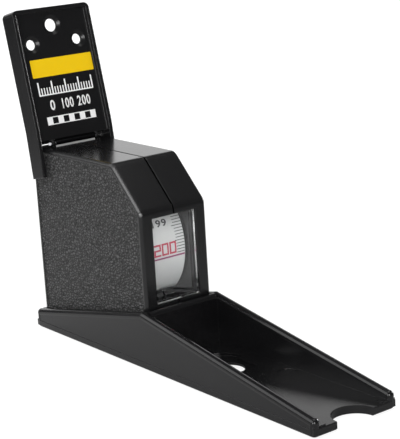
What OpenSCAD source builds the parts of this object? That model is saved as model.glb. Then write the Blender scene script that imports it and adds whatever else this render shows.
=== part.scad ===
// Wall height measuring tape: a spring-return steel tape in a two-part case on a flat headpiece,
// with the wall bracket that its free end hangs from.
// +Z is up, -Y is the front, and the origin is the middle of the headpiece's flat underside.

/* [Headpiece] */
// Length from the wall side to the tip
head_len = 146; // [120:1:180]
// Width over the rims
head_w = 32.3; // [32.2:0.1:36]
// Thickness of the floor
floor_t = 2.6; // [2:0.1:3.5]
// Thickness of the side walls
wall_t = 2.7; // [2:0.1:2.7]
// Height of the rim at the wall side
rim_rear = 6.4; // [6:0.1:8]
// Height of the rim where it meets the window
rim_peak = 18.9; // [17:0.1:19.4]
// Height of the rim at the tip
rim_tip = 5.4; // [4.8:0.1:6.2]
// Radius of the rounded bead on the rim
bead_r = 1.45; // [1.2:0.05:1.45]
// Radius of the finger notch in the tip
notch_r = 7.2; // [5:0.1:9]

/* [Case] */
// Width over both halves
case_w = 26.1; // [24.5:0.1:26.1]
// Depth from the window face to the wall side
case_depth = 63; // [60:0.5:80]
// Height of the top above the underside
case_top = 65; // [62:0.5:85]
// Length of the sloping face, measured along the top
case_slope = 14.3; // [8:0.1:16]
// Thickness of the moulded walls
shell_t = 2; // [1.5:0.1:2.4]
// Radius of the corners seen from the side
corner_r = 3; // [2:0.1:4]
// How far the case stands in the headpiece
case_sink = 3; // [2:0.1:3.2]

/* [Window] */
// Width of the window
window_w = 17.3; // [14:0.1:17.8]
// Height of the window
window_h = 28.6; // [20:0.1:29]
// Height of the window's sill above the underside
window_sill = 19.7; // [19.7:0.1:22]
// Thickness of the clear lens
lens_t = 1.3; // [1:0.1:1.4]

/* [Tape and reel] */
// Width of the steel tape
tape_w = 16; // [12:0.5:16.5]
// Thickness of the steel tape
tape_t = 0.13; // [0.1:0.01:0.18]
// Radius of the wound tape
winding_r = 20.4; // [19:0.1:21]
// Radius of the drum under the tape
drum_r = 18; // [15:0.1:18.5]
// Height of the reel's axis above the underside
reel_z = 35.1; // [34.6:0.1:37]
// Distance of the reel's axis behind the window face
reel_back = 27.1; // [26:0.1:29]
// Radius of the fixed centre post
post_r = 3; // [2.6:0.1:4]
// Radial running clearance on the post
post_fit = 0.05; // [0.02:0.01:0.1]
// Number of turns in the mainspring
spring_turns = 8; // [5:1:9]
// Thickness of the mainspring's steel strip
spring_t = 0.35; // [0.2:0.05:0.5]

/* [Wall bracket] */
// Width of the bracket
bracket_w = 31; // [30.5:0.1:34]
// Height of the bracket above its hinge wire
bracket_h = 46.4; // [40:0.1:60]
// Depth of the bracket's side flanges
bracket_depth = 7; // [6:0.1:9]
// Thickness of the flanges and of the plate
bracket_t = 1.4; // [1.2:0.05:1.6]
// Depth of the face below the front rim
face_recess = 1.5; // [1:0.1:2]
// Length of the cheeks below the hinge wire
cheek_len = 10.8; // [6:0.1:14]
// Angle by which the bracket leans back at rest
lean = 13.1; // [10:0.1:15]
// Radius of the hinge wire
wire_r = 0.5; // [0.4:0.05:0.6]
// Diameter of the upper screw hole
hole_top_d = 4.5; // [4:0.1:5]
// Diameter of the two lower screw holes
hole_low_d = 3.6; // [3:0.1:4]
// Spacing of the two lower screw holes
hole_spacing = 18.6; // [17:0.1:20]

/* [Hidden] */
$fn = 64;
eps = 0.01;
gap = 0.1;

// Main planes
half_len = head_len / 2;
rear_wall_t = 1.2;
case_rear = half_len - rear_wall_t - 0.2;
case_front = case_rear - case_depth;
rim_step = 0.15;
head_side = head_w / 2 - rim_step;
head_in = head_side - wall_t;
peak_y = case_front - 0.6;
cross_y = case_front - 0.2 - wall_t;
joint_short = 0.3;
joint_over = 0.05;
rim_fall = (rim_peak - rim_rear) / (half_len - peak_y);
function rim_z(y) = rim_rear + (half_len - y) * rim_fall;
function case_base(y) = rim_z(y) - case_sink;

// Side outline of the case, as points of depth and height
case_outline = [
    [case_front, case_base(case_front)],
    [case_rear, case_base(case_rear)],
    [case_rear, case_top],
    [case_front + case_slope, case_top],
    [case_front, case_top - case_slope]
];
edge_cut = 0.8;
seam_cut = 0.2;
panel_border = 1.6;
panel_depth = 0.25;
case_in = case_w / 2 - shell_t;

// Reel and tape line
reel_y = case_front + reel_back;
function tape_y(z) = reel_y + winding_r / cos(lean) + (z - reel_z) * tan(lean);
wire_z = case_top + 1.1;
wire_y = tape_y(wire_z);
tape_fall = (wire_z - reel_z) / cos(lean) + winding_r * tan(lean);
drum_wall = 1.4;
web_t = 1;
washer_t = 0.5;
washer_r = 6;
washer_gap = 0.05;
boss_in = tape_w / 2 + washer_t + 2 * washer_gap;
key = 4;
key_fit = 0.05;
post_boss_r = 5;

// Screws
screw_r = 1.1;
screw_hole_r = 1.3;
screw_fit = 0.02;
screw_head_r = 2.2;
screw_head_h = 1.5;
boss_r = 2;
foot_r = 3.4;
case_bosses = [
    [case_front + 11, rim_z(case_front + 11) + screw_head_r],
    [case_rear - 6, rim_z(case_rear - 6) + screw_head_r + 0.8],
    [case_rear - 3.7, case_top - 5.2],
    [case_front + case_slope - 2.4, case_top - 9]
];
head_boss_x = 8;
head_boss_r = 3.2;
head_boss_y = [case_front + 7.4, case_rear - 14.6];
head_screw_len = 4.5;

// Window
lens_recess = shell_t - lens_t;
lens_lip = 1.2;
lens_lip_t = 1;
guide_t = 1.2;

// Tape end
run_gap = 0.02;
eye_t = 0.25;
eye_fit = 0.05;
eye_r = wire_r + eye_fit + eye_t;
eye_leg = 5.5;
rivet_x = 4;
rivet_z = -3.6;
rivet_r = 0.8;
rivet_head_r = 1.1;
rivet_head_h = 0.35;
slot_y = 1.1;

// Bracket
bracket_top_r = 2;
bend_z = 5;
bend_kick = 4.8;
foot_z = 1.3;
lug_x = tape_w / 2 + 0.5;
lug_w = 1.2;
lug_r = 1;
hole_top_z = bracket_h - 6.1;
hole_low_z = bracket_h - 12;
sink_r = 1.3;
sink_depth = 0.7;
heel_w = 1.4;
heel_gap = 0.15;

// Inset of a convex outline whose points run anticlockwise
function edge_dir(p, q) = (q - p) / norm(q - p);
function left_of(u) = [-u[1], u[0]];
function inset_point(a, b, c, d) =
    let (m = left_of(edge_dir(a, b)), n = left_of(edge_dir(b, c))) b + (m + n) * d / (1 + m * n);
function inset(points, d) = [
    for (i = [0 : len(points) - 1])
        inset_point(points[(i + len(points) - 1) % len(points)], points[i],
            points[(i + 1) % len(points)], d)
];

// A side outline of depth and height, drawn out along X from x0 to x1
module side_slab(points, x0, x1)
    translate([x0, 0, 0]) rotate([90, 0, 90]) linear_extrude(x1 - x0) polygon(points);

// A rod along X between x0 and x1, centred at depth y and height z
module rod_x(r, x0, x1, y = 0, z = 0)
    translate([x0, y, z]) rotate([0, 90, 0]) cylinder(r = r, h = x1 - x0);

// A box given by two opposite corners
module block(low, high) translate(low) cube(high - low);

// A round bar between two points of one side plane, stopped short of both
module side_bar(r, x, a, b, short)
    translate([x, a[0], a[1]])
        rotate([-90 + atan2(b[1] - a[1], b[0] - a[0]), 0, 0])
            translate([0, 0, short]) cylinder(r = r, h = norm(b - a) - 2 * short);

// The frame of the tape's free line: origin at the hinge wire, Z up along the tape
module on_tape_line() translate([0, wire_y, wire_z]) rotate([-lean, 0, 0]) children();

// Half of the case's outer form, rounded in side view, eased at the rim and at the seam
module case_skin(side)
    hull()
        for (p = inset(case_outline, corner_r))
            translate([0, p[0], p[1]]) rotate([0, 90 * side, 0]) {
                cylinder(r = corner_r - seam_cut, h = case_w / 2 - edge_cut, $fn = 40);
                translate([0, 0, seam_cut])
                    cylinder(r = corner_r, h = case_w / 2 - edge_cut - seam_cut, $fn = 40);
                cylinder(r = corner_r - edge_cut, h = case_w / 2, $fn = 40);
            }

// The two bosses that carry the post, with a square socket that stops it turning
module post_boss(side)
    mirror([side < 0 ? 1 : 0, 0, 0])
        difference() {
            rod_x(post_boss_r, boss_in, case_in + eps, reel_y, reel_z);
            block([boss_in - 1, reel_y - key / 2 - key_fit, reel_z - key / 2 - key_fit],
                [case_in - 0.2, reel_y + key / 2 + key_fit, reel_z + key / 2 + key_fit]);
        }

// The plate beside the window that keeps the tape's edge in line, on three webs
module tape_guide(side)
    mirror([side < 0 ? 1 : 0, 0, 0]) {
        x0 = window_w / 2;
        y0 = case_front + shell_t + lens_lip_t + gap;
        y1 = case_front + 15;
        z0 = window_sill - lens_lip + 0.3;
        z1 = window_sill + window_h;
        block([x0, y0, z0], [x0 + guide_t, y1, z1]);
        for (z = [z0, (z0 + z1) / 2, z1 - guide_t])
            block([x0 + guide_t - eps, y0, z], [case_in + eps, y1, z + guide_t]);
    }

// One half of the case; the screws enter from the right
module case_half(side)
    difference() {
        union() {
            difference() {
                case_skin(side);
                side_slab(inset(case_outline, shell_t), side < 0 ? -case_in : -1,
                    side < 0 ? 1 : case_in);
            }
            intersection() {
                side_slab(inset(case_outline, shell_t / 2), side < 0 ? -case_in - 0.5 : 0,
                    side < 0 ? 0 : case_in + 0.5);
                union() {
                    for (p = case_bosses) {
                        rod_x(boss_r, -case_in - 0.5, case_in + 0.5, p[0], p[1]);
                        rod_x(foot_r, boss_in + 0.2, case_in + 0.5, p[0], p[1]);
                    }
                    for (y = head_boss_y)
                        translate([side * head_boss_x, y, case_base(y)])
                            cylinder(r = boss_r, h = head_screw_len + 1.2);
                    post_boss(side);
                    tape_guide(side);
                }
            }
        }
        panel_x = case_w / 2 - panel_depth;
        side_slab(inset(case_outline, panel_border), side < 0 ? -panel_x - 1 : panel_x,
            side < 0 ? -panel_x : panel_x + 1);
        block([-window_w / 2, case_front - 1, window_sill],
            [window_w / 2, case_front + shell_t + eps, window_sill + window_h]);
        on_tape_line()
            block([-tape_w / 2 - 0.6, -slot_y, -5], [tape_w / 2 + 0.6, slot_y, 3]);
        for (p = case_bosses)
            if (side < 0)
                rod_x(screw_r + screw_fit, -case_in + 0.6, 1, p[0], p[1]);
            else {
                rod_x(screw_hole_r, -1, case_w, p[0], p[1]);
                rod_x(screw_head_r + 0.2, case_in - 0.4, case_w, p[0], p[1]);
            }
        for (y = head_boss_y)
            translate([side * head_boss_x, y, case_base(y) - 1])
                cylinder(r = screw_r + screw_fit, h = head_screw_len + 1.2);
    }

module case_left() color([0.09, 0.09, 0.1]) case_half(-1);
module case_right() color([0.09, 0.09, 0.1]) case_half(1);

// A pan-head screw along +X whose head's seat is at the origin
module screw(len) {
    rod_x(screw_r, -len, eps);
    rod_x(screw_head_r, 0, screw_head_h);
}

module case_screws() color([0.6, 0.6, 0.62])
    for (p = case_bosses)
        translate([case_in - 0.4, p[0], p[1]]) screw(2 * case_in - 1.4);

// The lens fills the opening and is trapped behind it by its lip
module window_lens() color([0.8, 0.85, 0.9, 0.4]) {
    fit = 0.08;
    block([-window_w / 2 + fit, case_front + lens_recess, window_sill + fit],
        [window_w / 2 - fit, case_front + shell_t + fit, window_sill + window_h - fit]);
    block([-window_w / 2 - lens_lip, case_front + shell_t + fit, window_sill - lens_lip + 0.2],
        [window_w / 2 + lens_lip, case_front + shell_t + lens_lip_t,
            window_sill + window_h + lens_lip]);
}

// Side outline of the headpiece's walls, up to the middle of the bead
bead_path = [
    [half_len - bead_r, rim_rear - bead_r],
    [peak_y, rim_peak - bead_r],
    [-half_len + bead_r, rim_tip - bead_r]
];

// The space under the case, where ribs and bosses stand
under_case = [
    [case_front + 0.2, floor_t / 2],
    [half_len - rear_wall_t / 2, floor_t / 2],
    [half_len - rear_wall_t / 2, case_base(half_len) - gap],
    [case_front + 0.2, case_base(case_front + 0.2) - gap]
];

module head_floor() {
    plan_r = 1.5;
    ease = 0.5;
    lip = floor_t - 0.25;
    hull()
        for (x = [-1, 1], y = [-1, 1])
            translate([x * (head_w / 2 - plan_r), y * (half_len - plan_r), 0]) {
                translate([0, 0, ease]) cylinder(r = plan_r, h = lip - ease, $fn = 32);
                cylinder(r = plan_r - ease, h = ease, $fn = 32);
            }
    block([-head_side, -half_len + 0.1, ease], [head_side, half_len - 0.1, floor_t]);
}

module head_walls() {
    for (side = [-1, 1]) {
        bead_x = side * (head_w / 2 - bead_r);
        side_slab(concat([[-half_len + bead_r, 1], [half_len - bead_r, 1]], bead_path),
            side < 0 ? -head_side : head_in, side < 0 ? -head_in : head_side);
        for (i = [0, 1])
            side_bar(bead_r, bead_x, bead_path[i], bead_path[i + 1], joint_short);
        for (p = bead_path)
            translate([bead_x, p[0], p[1]]) sphere(r = bead_r + joint_over, $fn = 24);
        for (p = [bead_path[0], bead_path[2]])
            translate([bead_x, p[0], 1]) cylinder(r = bead_r, h = p[1] - 1 - joint_short);
        // Round pad in the front corner
        intersection() {
            translate([bead_x, -half_len + bead_r, 0]) cylinder(r = 3.6, h = floor_t + 0.5);
            block([-head_side, -half_len + 0.3, 1], [head_side, 0, floor_t + 1]);
        }
    }
    // Cross wall under the window, rounded along its top
    block([-head_in - eps, cross_y, 1], [head_in + eps, cross_y + wall_t, rim_peak - wall_t / 2]);
    rod_x(wall_t / 2, -head_in - eps, head_in + eps, cross_y + wall_t / 2,
        rim_peak - wall_t / 2);
    block([-head_in - eps, half_len - rear_wall_t, 1],
        [head_in + eps, half_len, rim_rear - 0.4]);
}

module headpiece() color([0.1, 0.1, 0.11])
    difference() {
        union() {
            head_floor();
            head_walls();
            intersection() {
                side_slab(under_case, -head_in - eps, head_in + eps);
                union() {
                    for (x = [-1, 1], y = head_boss_y)
                        translate([x * head_boss_x, y, 0]) cylinder(r = head_boss_r, h = 30);
                    for (k = [0.36, 0.6])
                        translate([0, case_front + case_depth * k, 15])
                            cube([2 * head_in + 1, 1.4, 30], center = true);
                }
            }
        }
        // Finger notch
        translate([0, -half_len, -1]) cylinder(r = notch_r, h = 10);
        // Screws up into the case, their heads sunk in the underside
        for (x = [-1, 1], y = head_boss_y)
            translate([x * head_boss_x, y, -1]) {
                cylinder(r = screw_hole_r, h = 30);
                cylinder(r = screw_head_r + 0.3, h = 1 + head_seat(y));
            }
        latch_recess();
        // Round ejector marks in the floor
        for (side = [-1, 1])
            translate([side * 9.3, peak_y - 41, floor_t - 0.25]) cylinder(r = 3.3, h = 1);
    }

// Height of the seat under a headpiece screw's head
function head_seat(y) = case_base(y) - gap - 1.6;

// Half-round recess in the floor, drawn out to the front round a hole. The underside is hollow
// below them, which leaves a thin web round the hole.
module latch_recess() {
    recess_r = 9.3;
    recess_h = 0.9;
    web = 0.8;
    hole_r = 5.5;
    border = 1.4;
    y0 = peak_y - 19;
    hole_y = y0 - 4.1;
    floor_low = floor_t - recess_h;
    intersection() {
        translate([0, y0, floor_low]) cylinder(r = recess_r, h = 5);
        block([-head_in, y0, 0], [head_in, y0 + recess_r + 1, 5]);
    }
    block([-hole_r - border, hole_y - hole_r - border, floor_low], [hole_r + border, y0 + 1, 5]);
    translate([0, hole_y, -1]) cylinder(r = hole_r, h = 6);
    block([-hole_r - 2 * border, hole_y - hole_r - 2 * border, -1],
        [hole_r + 2 * border, y0 + recess_r - 2 * border, floor_low - web]);
}

module headpiece_screws() color([0.6, 0.6, 0.62])
    for (x = [-1, 1], y = head_boss_y)
        translate([x * head_boss_x, y, head_seat(y)]) rotate([0, 90, 0])
            screw(head_screw_len + 1.2);

// Fixed post: round between the bosses, square in them, slit for the spring's inner end
module centre_post() color([0.75, 0.75, 0.77])
    difference() {
        union() {
            rod_x(post_r, -boss_in + gap / 2, boss_in - gap / 2, reel_y, reel_z);
            block([-case_in + 0.3, reel_y - key / 2, reel_z - key / 2],
                [case_in - 0.3, reel_y + key / 2, reel_z + key / 2]);
        }
        block([-tape_w / 2 + web_t + 0.5, reel_y - 0.3, reel_z],
            [tape_w / 2 - web_t - 0.5, reel_y + 0.3, reel_z + post_r + 1]);
    }

module thrust_washers() color([0.85, 0.83, 0.78])
    for (side = [-1, 1])
        difference() {
            x = side * (tape_w / 2 + washer_gap + washer_t / 2);
            rod_x(washer_r, x - washer_t / 2, x + washer_t / 2, reel_y, reel_z);
            rod_x(post_r + post_fit, x - 1, x + 1, reel_y, reel_z);
        }

// The drum: the wall that the tape winds on and the web that closes its left side
module reel_drum() color([0.86, 0.86, 0.84])
    difference() {
        rod_x(drum_r, -tape_w / 2, tape_w / 2, reel_y, reel_z);
        rod_x(drum_r - drum_wall, -tape_w / 2 + web_t, tape_w, reel_y, reel_z);
        rod_x(drum_r - drum_wall + 0.5, tape_w / 2 - web_t, tape_w, reel_y, reel_z);
        rod_x(post_r + post_fit, -tape_w, tape_w, reel_y, reel_z);
        // Slit where the tape's inner end is hooked in
        translate([0, reel_y, reel_z]) rotate([30, 0, 0])
            block([-tape_w / 2 + web_t + 1, drum_r - drum_wall - 1, -0.3],
                [tape_w / 2 - web_t - 1, drum_r + 1, 0.3]);
    }

// Lid pressed into the drum's open side
module drum_cover() color([0.2, 0.2, 0.22])
    difference() {
        rod_x(drum_r - drum_wall + 0.45, tape_w / 2 - web_t + 0.02, tape_w / 2, reel_y, reel_z);
        rod_x(post_r + post_fit, 0, tape_w, reel_y, reel_z);
        for (a = [0 : 60 : 300])
            translate([0, reel_y, reel_z]) rotate([a, 0, 0])
                rod_x(2, 0, tape_w, (drum_r + post_r) / 2, 0);
    }

// Points of a flat spiral from radius r0 to r1, t thick
function spiral(r0, r1, turns, t, steps) = concat(
    [for (i = [0 : turns * steps])
        (r0 + (r1 - r0) * i / (turns * steps))
            * [cos(360 * i / steps + 90), sin(360 * i / steps + 90)]],
    [for (i = [turns * steps : -1 : 0])
        (r0 + t + (r1 - r0) * i / (turns * steps))
            * [cos(360 * i / steps + 90), sin(360 * i / steps + 90)]]
);

module mainspring() color([0.35, 0.37, 0.42]) {
    margin = 0.15;
    outer = drum_r - drum_wall - spring_t - margin;
    half = tape_w / 2 - web_t - 0.4;
    translate([0, reel_y, reel_z])
        side_slab(spiral(post_r + margin, outer, spring_turns, spring_t, 30), -half, half);
}

// The wound tape: its outer turn runs in a spiral that ends where the tape leaves for the slot
module tape_roll() color([0.9, 0.9, 0.88])
    translate([0, reel_y, reel_z])
        difference() {
            side_slab([for (a = [0 : 3 : 360])
                (winding_r - run_gap - tape_t * a / 360) * [cos(-lean - a), sin(-lean - a)]],
                -tape_w / 2, tape_w / 2);
            rod_x(drum_r + 0.02, -tape_w, tape_w);
        }

// The tape between the roll and its end; it grows as the case is drawn away from the bracket
module tape_run() color([0.9, 0.9, 0.88])
    on_tape_line()
        difference() {
            block([-tape_w / 2, -tape_t, -tape_fall + run_gap], [tape_w / 2, 0, -eye_r]);
            for (x = [-1, 1])
                translate([x * rivet_x, 0, rivet_z]) rotate([90, 0, 0])
                    cylinder(r = rivet_r + 0.02, h = 4, center = true);
        }

// The tape's end: a strip folded round the hinge wire, its leg lying behind the tape
module tape_eye() color([0.75, 0.76, 0.78])
    on_tape_line()
        difference() {
            union() {
                rod_x(eye_r, -tape_w / 2, tape_w / 2);
                block([-tape_w / 2, 0.02, -eye_leg - eye_r],
                    [tape_w / 2, 0.02 + eye_t, 0]);
            }
            rod_x(wire_r + eye_fit, -tape_w, tape_w);
            for (x = [-1, 1])
                translate([x * rivet_x, 0, rivet_z]) rotate([90, 0, 0])
                    cylinder(r = rivet_r + 0.02, h = 4, center = true);
        }

module eye_rivets() color([0.7, 0.7, 0.72])
    on_tape_line()
        for (x = [-1, 1])
            translate([x * rivet_x, 0, rivet_z]) rotate([-90, 0, 0]) {
                translate([0, 0, -tape_t - 0.02 - rivet_head_h])
                    cylinder(r = rivet_head_r, h = rivet_head_h);
                translate([0, 0, -tape_t - 0.03]) cylinder(r = rivet_r, h = tape_t + eye_t + 0.08);
                translate([0, 0, eye_t + 0.04]) cylinder(r = rivet_head_r, h = rivet_head_h);
            }

// Side outline of the bracket in the tape line's frame: the cheeks stand more upright
bracket_profile = let (k = (bend_z + cheek_len) * tan(bend_kick)) [
    [k - face_recess, -cheek_len],
    [k - face_recess + bracket_depth, -cheek_len],
    [bracket_depth - face_recess, bend_z],
    [bracket_depth - face_recess, bracket_h],
    [-face_recess, bracket_h],
    [-face_recess, bend_z]
];

// Front view of the bracket, with round upper corners
module bracket_front()
    rotate([90, 0, 0])
        linear_extrude(60, center = true) {
            for (side = [-1, 1])
                translate([side * (bracket_w / 2 - bracket_top_r), bracket_h - bracket_top_r])
                    circle(r = bracket_top_r);
            translate([-bracket_w / 2, -cheek_len - 1])
                square([bracket_w, bracket_h - bracket_top_r + cheek_len + 1]);
            translate([-bracket_w / 2 + bracket_top_r, 0])
                square([bracket_w - 2 * bracket_top_r, bracket_h]);
        }

// A screw hole through the plate, sunk from the front
module bracket_hole(x, z, d)
    translate([x, 0, z]) rotate([90, 0, 0]) {
        cylinder(d = d, h = 20, center = true);
        translate([0, 0, -sink_depth]) cylinder(d1 = d, d2 = d + 2 * sink_r, h = sink_depth);
        cylinder(d = d + 2 * sink_r, h = 1);
    }

module wall_bracket() color([0.08, 0.08, 0.09])
    on_tape_line()
        difference() {
            inner = bracket_w / 2 - bracket_t;
            back = bracket_depth - face_recess;
            heel_z = (case_top + heel_gap - wire_z + back * sin(lean)) / cos(lean);
            union() {
                difference() {
                    intersection() {
                        side_slab(bracket_profile, -bracket_w / 2, bracket_w / 2);
                        bracket_front();
                    }
                    block([-inner, -face_recess - 1, -cheek_len - 1],
                        [inner, 0, bracket_h - bracket_t]);
                    block([-inner, bracket_t, foot_z + bracket_t],
                        [inner, bracket_depth + 5, bracket_h - bracket_t]);
                    block([-inner, -bracket_depth, -cheek_len - 1],
                        [inner, bracket_depth + 5, foot_z]);
                }
                // Stiffening ribs behind the plate
                for (z = [hole_low_z - 7, hole_low_z - 21])
                    block([-inner - eps, bracket_t - eps, z],
                        [inner + eps, back - 0.5, z + 1]);
                // Heel that the bracket rests on, on the case's top
                block([-inner - eps, back - heel_w, heel_z], [inner + eps, back, foot_z + eps]);
                // Lugs for the hinge wire
                for (side = [-1, 1]) {
                    x0 = side < 0 ? -lug_x - lug_w : lug_x;
                    rod_x(lug_r, x0, x0 + lug_w);
                    block([x0, -0.5, 0], [x0 + lug_w, bracket_t, foot_z + eps]);
                }
            }
            rod_x(wire_r + 0.02, -lug_x - lug_w - 1, lug_x + lug_w + 1);
            bracket_hole(0, hole_top_z, hole_top_d);
            for (side = [-1, 1])
                bracket_hole(side * hole_spacing / 2, hole_low_z, hole_low_d);
        }

// The hinge wire, its left end bent forward so that it can't slide out
module hinge_wire() color([0.8, 0.8, 0.82])
    on_tape_line() {
        bend_r = 0.8;
        x_end = lug_x + lug_w + 0.1;
        rod_x(wire_r, -x_end, x_end);
        translate([-x_end, -bend_r, 0])
            rotate([0, 0, 90]) rotate_extrude(angle = 60) translate([bend_r, 0]) circle(r = wire_r);
    }

headpiece();
headpiece_screws();
case_left();
case_right();
case_screws();
window_lens();
centre_post();
thrust_washers();
reel_drum();
drum_cover();
mainspring();
tape_roll();
tape_run();
tape_eye();
eye_rivets();
wall_bracket();
hinge_wire();
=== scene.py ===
import math

import bmesh
import bpy
from mathutils import Matrix, Vector


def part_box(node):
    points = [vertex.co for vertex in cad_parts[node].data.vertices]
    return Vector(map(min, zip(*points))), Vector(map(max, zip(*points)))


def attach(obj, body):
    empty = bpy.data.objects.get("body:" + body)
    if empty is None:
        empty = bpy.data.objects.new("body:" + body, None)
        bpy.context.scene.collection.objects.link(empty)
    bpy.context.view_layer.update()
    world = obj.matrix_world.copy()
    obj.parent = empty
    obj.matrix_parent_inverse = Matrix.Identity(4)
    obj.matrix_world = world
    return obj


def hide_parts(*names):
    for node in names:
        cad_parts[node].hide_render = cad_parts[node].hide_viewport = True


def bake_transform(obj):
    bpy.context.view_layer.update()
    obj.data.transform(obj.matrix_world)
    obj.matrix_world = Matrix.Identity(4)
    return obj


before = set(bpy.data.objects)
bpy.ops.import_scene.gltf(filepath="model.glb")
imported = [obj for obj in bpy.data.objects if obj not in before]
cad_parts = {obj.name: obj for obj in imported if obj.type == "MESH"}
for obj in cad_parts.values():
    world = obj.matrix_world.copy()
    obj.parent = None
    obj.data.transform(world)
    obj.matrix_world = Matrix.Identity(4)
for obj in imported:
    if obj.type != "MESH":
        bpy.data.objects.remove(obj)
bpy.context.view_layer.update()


# HEADPIECE
# A long flat tray of black polypropylene, moulded in one piece. Its rims climb to the window and
# fall again to the wall side, and its tip has a half-round notch. The helpers that all sections
# use stand here too.

def link(tree, outlet, inlet):
    tree.links.new(outlet, inlet)


def add(tree, kind, **settings):
    """A shader or geometry node with some of its settings."""
    node = tree.nodes.new(kind)
    for name, value in settings.items():
        setattr(node, name, value)
    return node


def ramp(tree, value, start, end, low=0.0):
    """Runs from low to 1 as the value runs from start to end."""
    node = add(tree, "ShaderNodeMapRange")
    node.inputs["From Min"].default_value = start
    node.inputs["From Max"].default_value = end
    node.inputs["To Min"].default_value = low
    link(tree, value, node.inputs["Value"])
    return node.outputs["Result"]


def shader_group(name, inputs, outputs):
    """An empty shader node group: inputs are (name, default), outputs are (name, socket type)."""
    group = bpy.data.node_groups.new(name, "ShaderNodeTree")
    for label, default in inputs:
        socket = group.interface.new_socket(label, in_out="INPUT", socket_type="NodeSocketFloat")
        socket.default_value = default
    for label, kind in outputs:
        group.interface.new_socket(label, in_out="OUTPUT", socket_type=kind)
    return group, add(group, "NodeGroupInput"), add(group, "NodeGroupOutput")


def moulded_skin_group():
    """Fine unevenness of a moulded surface: a height for the bump and a slow mottle."""
    group, given, result = shader_group(
        "moulded_skin",
        [("Grain per metre", 2600.0), ("Mottle per metre", 60.0)],
        [("Height", "NodeSocketFloat"), ("Mottle", "NodeSocketFloat")])
    place = add(group, "ShaderNodeTexCoord")
    fine = add(group, "ShaderNodeTexNoise", noise_dimensions="3D")
    fine.inputs["Detail"].default_value = 4.0
    fine.inputs["Roughness"].default_value = 0.6
    slow = add(group, "ShaderNodeTexNoise", noise_dimensions="3D")
    slow.inputs["Detail"].default_value = 3.0
    for noise, label in ((fine, "Grain per metre"), (slow, "Mottle per metre")):
        link(group, place.outputs["Object"], noise.inputs["Vector"])
        link(group, given.outputs[label], noise.inputs["Scale"])
    link(group, fine.outputs["Fac"], result.inputs["Height"])
    link(group, slow.outputs["Fac"], result.inputs["Mottle"])
    return group


def rub_marks_group():
    """Thin scuffs from handling, as a mask that is mostly 0."""
    group, given, result = shader_group(
        "rub_marks", [("Marks per metre", 90.0), ("Amount", 0.5)], [("Mask", "NodeSocketFloat")])
    place = add(group, "ShaderNodeTexCoord")
    turn = add(group, "ShaderNodeMapping")
    turn.inputs["Rotation"].default_value = (0.3, 0.5, 0.7)
    turn.inputs["Scale"].default_value = (1.0, 9.0, 2.0)
    noise = add(group, "ShaderNodeTexNoise", noise_dimensions="3D")
    noise.inputs["Detail"].default_value = 6.0
    noise.inputs["Roughness"].default_value = 0.7
    scaled = add(group, "ShaderNodeMath", operation="MULTIPLY")
    link(group, place.outputs["Object"], turn.inputs["Vector"])
    link(group, turn.outputs["Vector"], noise.inputs["Vector"])
    link(group, given.outputs["Marks per metre"], noise.inputs["Scale"])
    link(group, ramp(group, noise.outputs["Fac"], 0.62, 0.78), scaled.inputs[0])
    link(group, given.outputs["Amount"], scaled.inputs[1])
    link(group, scaled.outputs["Value"], result.inputs["Mask"])
    return group


moulded_skin = moulded_skin_group()
rub_marks = rub_marks_group()


def place_group(tree, group, **values):
    """The group in a tree, its inputs set by name with spaces written as underscores."""
    node = add(tree, "ShaderNodeGroup", node_tree=group)
    for label, value in values.items():
        node.inputs[label.replace("_", " ")].default_value = value
    return node


def new_material(name):
    """A material with its node tree and its Principled node."""
    material = bpy.data.materials.new(name)
    material.use_nodes = True
    tree = material.node_tree
    return material, tree, tree.nodes["Principled BSDF"]


def between(tree, factor, low, high, inlet):
    """A number that runs from low to high as the factor runs from 0 to 1."""
    node = add(tree, "ShaderNodeMapRange")
    node.inputs["To Min"].default_value = low
    node.inputs["To Max"].default_value = high
    link(tree, factor, node.inputs["Value"])
    link(tree, node.outputs["Result"], inlet)


def tint(tree, factor, low, high, inlet=None):
    """A colour that runs from low to high as the factor runs from 0 to 1."""
    node = add(tree, "ShaderNodeMix", data_type="RGBA")
    node.inputs["A"].default_value = (*low, 1.0)
    node.inputs["B"].default_value = (*high, 1.0)
    link(tree, factor, node.inputs["Factor"])
    if inlet is not None:
        link(tree, node.outputs["Result"], inlet)
    return node


def relief(tree, height, depth, surface, ease=0.0):
    """A bump of that depth in metres, on edges rounded by the ease where it isn't 0."""
    node = add(tree, "ShaderNodeBump")
    node.inputs["Distance"].default_value = depth
    link(tree, height, node.inputs["Height"])
    if ease > 0.0:
        rounded = add(tree, "ShaderNodeBevel", samples=6)
        rounded.inputs["Radius"].default_value = ease
        link(tree, rounded.outputs["Normal"], node.inputs["Normal"])
    link(tree, node.outputs["Normal"], surface.inputs["Normal"])


def moulded_plastic(name, dark, light, sheen, gloss, rough, grain, depth, marks, ease):
    """Black moulded plastic: mottled colour, uneven gloss, fine relief and a few scuffs."""
    material, tree, surface = new_material(name)
    surface.inputs["Specular IOR Level"].default_value = sheen
    skin = place_group(tree, moulded_skin, Grain_per_metre=grain)
    scuff = place_group(tree, rub_marks, Amount=marks)
    colour = tint(tree, skin.outputs["Mottle"], dark, light)
    worn = add(tree, "ShaderNodeMix", data_type="RGBA")
    worn.inputs["B"].default_value = (0.09, 0.09, 0.092, 1.0)
    link(tree, scuff.outputs["Mask"], worn.inputs["Factor"])
    link(tree, colour.outputs["Result"], worn.inputs["A"])
    link(tree, worn.outputs["Result"], surface.inputs["Base Color"])
    between(tree, skin.outputs["Mottle"], gloss, rough, surface.inputs["Roughness"])
    relief(tree, skin.outputs["Height"], depth, surface, ease)
    return material


def finish_node(name, material):
    """Gives a carried-over solid its material."""
    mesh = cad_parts[name].data
    mesh.materials.clear()
    mesh.materials.append(material)


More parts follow.
